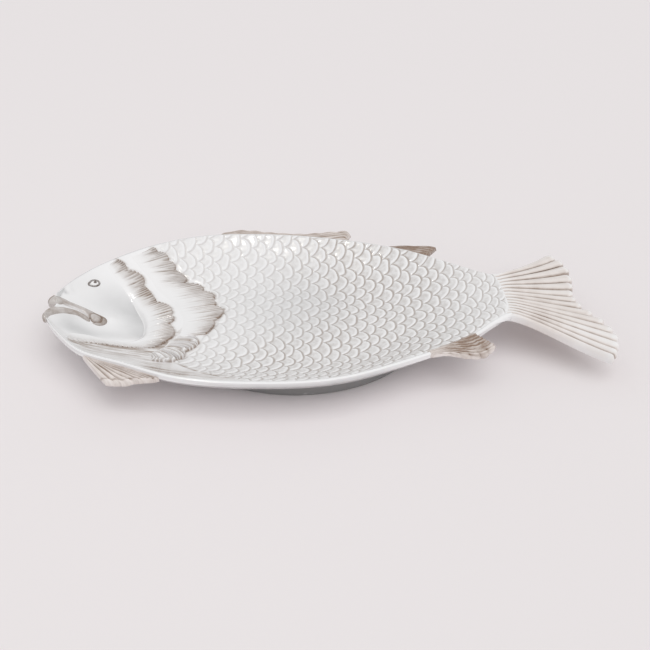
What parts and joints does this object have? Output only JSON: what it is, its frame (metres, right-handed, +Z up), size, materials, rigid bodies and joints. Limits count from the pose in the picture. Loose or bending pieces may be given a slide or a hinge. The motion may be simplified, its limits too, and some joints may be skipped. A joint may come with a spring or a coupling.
{
  "type": "fish shaped platter",
  "caption": "Fish shaped ceramic serving platter: shallow scaled dish on an oval foot ring, with ribbed tail and fins, frilled gill covers, lips and eye.",
  "frame": {"origin": "on the table, under the middle of the platter's box", "axes": "+X from the snout to the tail, +Y towards the back fins, +Z up"},
  "size_m": [0.5766, 0.2852, 0.0495],
  "materials": {
    "white_glaze": "clear gloss glaze over white earthenware",
    "fin_glaze": "gloss glaze with a taupe wash in the grooves",
    "frill_glaze": "gloss glaze with a taupe wash towards the frilled edge",
    "lip_glaze": "gloss glaze over a taupe wash"
  },
  "bodies": {
    "root": {"dish": "white_glaze", "foot_ring": "white_glaze", "tail_fin": "fin_glaze", "front_dorsal_fin": "fin_glaze", "rear_dorsal_fin": "fin_glaze", "pelvic_fin": "fin_glaze", "anal_fin": "fin_glaze", "gill_cover": "frill_glaze", "shoulder_collar": "frill_glaze", "throat_frill": "frill_glaze", "upper_lip": "lip_glaze", "lower_lip": "lip_glaze", "eyeball": "white_glaze", "eye_ring": "lip_glaze"}
  },
  "joints": []
}
